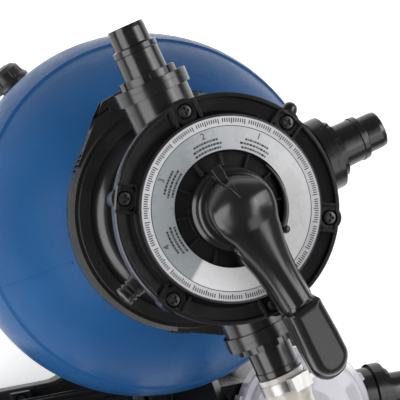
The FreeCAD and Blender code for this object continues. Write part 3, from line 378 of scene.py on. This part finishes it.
def lathe(points, n=96):
    """A ring or disc turned about the selector's axis from (r, z) points in mm, closed on itself."""
    bm = bmesh.new()
    rings = []
    for k in range(n):
        c, q = math.cos(2 * math.pi * k / n), math.sin(2 * math.pi * k / n)
        rings.append([bm.verts.new((r * c * MM, r * q * MM, z * MM)) for r, z in points])
    m = len(points)
    for k in range(n):
        a, b = rings[k], rings[(k + 1) % n]
        for i in range(m):
            bm.faces.new((a[i], a[(i + 1) % m], b[(i + 1) % m], b[i]))
    return bm


mesh_piece("lever", seat_on_hub(lever()), black, "handle", cad="handle")
SKIRT = [(25.0, 0.2), (30.8, 0.0), (31.4, 0.6), (31.4, 3.6), (30.4, 4.8), (27.5, 5.6), (25.5, 5.6)]
mesh_piece("hub_skirt", seat_on_hub(lathe(SKIRT)), black, "handle")
pointer = mesh_piece("pointer", seat_on_hub(fin()), black, "handle", smooth=False)
bev = pointer.modifiers.new("edge", "BEVEL")
bev.width, bev.segments, bev.limit_method, bev.angle_limit = 0.0006, 3, "ANGLE", rad(25)


# ------------------------------------------------------------------ dial printing
LABEL_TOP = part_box("label_ring")[1].z
FILM = 0.00006                           # thickness of one printed layer in metres
TICK_OUT, TICK_STEP = 72.2, 1.5          # outer radius of the scale's ticks in mm, degrees between them
STATIONS = (59.5, 103.5, 150.0, 200.5)   # the four settings, in degrees
TEXT_ROWS = ((56.4, 10.5), (53.0, 12.5), (49.6, 11.0))  # radius and half-length of each row of dashes, mm
NUMERAL_R, NUMERAL_SIZE = 0.0615, 0.0075


def plate(bm, points, z0, z1):
    """A thin closed plate over a convex outline of (x, y) points in metres."""
    low = [bm.verts.new((x, y, z0)) for x, y in points]
    top = [bm.verts.new((x, y, z1)) for x, y in points]
    bm.faces.new(list(reversed(low)))
    bm.faces.new(top)
    for i in range(len(points)):
        j = (i + 1) % len(points)
        bm.faces.new((low[i], low[j], top[j], top[i]))


def dash(bm, r, deg, long, wide, z=LABEL_TOP):
    """A printed dash at radius r mm and angle deg: long is across the radius, wide along it."""
    c, q = math.cos(rad(deg)), math.sin(rad(deg))
    pts = []
    for u, v in ((-0.5, -0.5), (0.5, -0.5), (0.5, 0.5), (-0.5, 0.5)):
        a, b = r + u * wide, v * long
        pts.append(((a * c - b * q) * MM, (a * q + b * c) * MM))
    plate(bm, pts, z, z + FILM)


def print_ring(bm, r0, r1, z0, z1, n=180):
    """A thin flat ring between two radii in mm."""
    loops = []
    for r, z in ((r0, z0), (r1, z0), (r1, z1), (r0, z1)):
        loops.append([bm.verts.new((r * math.cos(2 * math.pi * k / n) * MM,
                                    r * math.sin(2 * math.pi * k / n) * MM, z)) for k in range(n)])
    for a, b in zip(loops, loops[1:] + loops[:1]):
        for k in range(n):
            bm.faces.new((a[k], a[(k + 1) % n], b[(k + 1) % n], b[k]))


band = bmesh.new()
print_ring(band, 66.3, 73.9, LABEL_TOP, LABEL_TOP + FILM)
mesh_piece("scale_band", band, band_white, "unit", smooth=False)

marks = bmesh.new()
above = LABEL_TOP + FILM
print_ring(marks, 65.8, 66.35, LABEL_TOP, above + FILM)
print_ring(marks, 73.7, 74.1, LABEL_TOP, above + FILM)
random.seed(7)
for k in range(240):
    if k % 12 < 11:
        tall = 4.2 if k % 6 == 0 else 3.2
        dash(marks, TICK_OUT - tall / 2, TICK_STEP * k, 0.85, tall, above)
for deg in STATIONS:
    for r, reach in TEXT_ROWS:
        at = -reach
        while at < reach - 1.0:
            long = random.uniform(0.9, 2.6)
            dash(marks, r, deg + math.degrees((at + long / 2) / r), long, 1.7)
            at += long + 0.65
mesh_piece("dial_marks", marks, ink, "unit", smooth=False)

for k, deg in enumerate(STATIONS):
    t = bpy.data.curves.new("numeral_%d" % (k + 1), "FONT")
    t.body = str(k + 1)
    t.size = NUMERAL_SIZE
    t.extrude = FILM / 2
    t.align_x, t.align_y = "CENTER", "CENTER"
    t.materials.append(ink.m)
    o = bpy.data.objects.new("numeral_%d" % (k + 1), t)
    scene.collection.objects.link(o)
    o.location = (NUMERAL_R * math.cos(rad(deg)), NUMERAL_R * math.sin(rad(deg)), LABEL_TOP + FILM / 2)
    o.rotation_euler = (0, 0, rad(deg - 90))
    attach(o, "unit")


# ------------------------------------------------------------------ stop lip and bleed knob

def sweep(points, radii, body, name, mat, n=14):
    """A round bar of changing radius through points in metres, closed by flat ends."""
    bm = bmesh.new()
    rings = []
    m = len(points)
    for i, (p, r) in enumerate(zip(points, radii)):
        d = (points[min(i + 1, m - 1)] - points[max(i - 1, 0)]).normalized()
        side = d.cross(Vector((0, 0, 1))).normalized()
        up = side.cross(d)
        rings.append([bm.verts.new(p + (side * math.cos(t) + up * math.sin(t)) * r)
                      for t in [2 * math.pi * k / n for k in range(n)]])
    for a, b in zip(rings, rings[1:]):
        for k in range(n):
            bm.faces.new((a[k], a[(k + 1) % n], b[(k + 1) % n], b[k]))
    bm.faces.new(rings[0])
    bm.faces.new(list(reversed(rings[-1])))
    return mesh_piece(name, bm, mat, body)


LIP_R = 0.0452
lip_pts, lip_r = [], []
for i in range(33):
    t = i / 32
    a = rad(42 - 70 * t)
    lip_pts.append(Vector((LIP_R * math.cos(a), LIP_R * math.sin(a), LABEL_TOP - 0.0002)))
    lip_r.append(0.0003 + 0.0021 * math.sin(math.pi * min(t * 1.1, 1.0) * 0.5))
sweep(lip_pts, lip_r, "unit", "stop_lip", lip_grey)

DOT_DEG, DOT_R = -29.5, 47.6
dot = lathe([(0.05, -1.0), (3.3, -1.0), (3.3, 1.4), (2.6, 2.4), (1.3, 2.9), (0.05, 3.0)], 40)
bmesh.ops.transform(dot, verts=dot.verts, matrix=Matrix.Translation(
    (DOT_R * math.cos(rad(DOT_DEG)) * MM, DOT_R * math.sin(rad(DOT_DEG)) * MM, LABEL_TOP)))
mesh_piece("stop_button", dot, satin, "unit")

KNOB_DEG, KNOB_Z = 46.0, 0.5345
knob = lathe([(0.05, 84), (4.4, 84), (4.4, 93.5), (5.4, 94.6), (6.2, 97.0), (6.3, 99.5), (5.6, 102.2),
              (4.0, 104.2), (2.0, 105.2), (0.05, 105.5)], 48)
knob_at = Matrix.Translation((0, 0, KNOB_Z))
knob_turn = Matrix.Rotation(rad(KNOB_DEG), 4, "Z") @ Matrix.Rotation(rad(90), 4, "Y")
bmesh.ops.transform(knob, verts=knob.verts, matrix=knob_at @ knob_turn)
mesh_piece("bleed_knob", knob, black, "unit")


# ------------------------------------------------------------------ stage, light, camera
bpy.ops.mesh.primitive_plane_add(size=8, location=(0, 0, 0))
floor = bpy.context.object
floor.name = "floor"
fm = Mat("floor", (0.9, 0.9, 0.9), 0.6, Emission_Color=(1, 1, 1, 1), Emission_Strength=0.45)
fm.rough(fm.range(fm.noise(3, 2), 0.3, 0.7, 0.55, 0.65))
floor.data.materials.append(fm.m)

world = bpy.data.worlds.new("studio")
scene.world = world
world.use_nodes = True
wt = world.node_tree
direction = wt.nodes.new("ShaderNodeTexCoord")
split = wt.nodes.new("ShaderNodeSeparateXYZ")
wt.links.new(direction.outputs["Generated"], split.inputs[0])
fade = wt.nodes.new("ShaderNodeMapRange")
wt.links.new(split.outputs["Z"], fade.inputs["Value"])
fade.inputs["From Min"].default_value, fade.inputs["From Max"].default_value = 0.1, 0.75
fade.inputs["To Min"].default_value, fade.inputs["To Max"].default_value = 0.3, 0.16
sky = wt.nodes["Background"]
sky.inputs[0].default_value = (1, 1, 1, 1)
wt.links.new(fade.outputs["Result"], sky.inputs[1])


def softbox(name, place, target, size, power):
    """A rectangular area light at a place, turned towards a target."""
    d = bpy.data.lights.new(name, "AREA")
    d.shape = "RECTANGLE"
    d.size, d.size_y = size
    d.energy = power
    o = bpy.data.objects.new(name, d)
    scene.collection.objects.link(o)
    o.location = place
    o.rotation_euler = (Vector(target) - Vector(place)).to_track_quat("-Z", "Y").to_euler()


softbox("left box", (-1.6, -0.3, 1.35), (0, 0, 0.4), (2.5, 1.4), 48)
softbox("right box", (1.6, 0.5, 1.6), (0, 0, 0.5), (1.1, 1.2), 19)
softbox("top box", (1.3, 0.0, 2.2), (0, 0, 0.5), (1.6, 0.8), 15)
softbox("front box", (1.0, -1.2, 1.7), (0, -0.1, 0.5), (1.1, 1.1), 7)

camera = bpy.data.objects.new("camera", bpy.data.cameras.new("camera"))
scene.collection.objects.link(camera)
camera.data.lens = 164.7
camera.data.clip_end = 50
camera.location = (-0.3896, 0.0376, 1.9624)
camera.rotation_euler = Euler((rad(1.32), rad(-14.57), rad(-9.43)), "XYZ")
scene.camera = camera
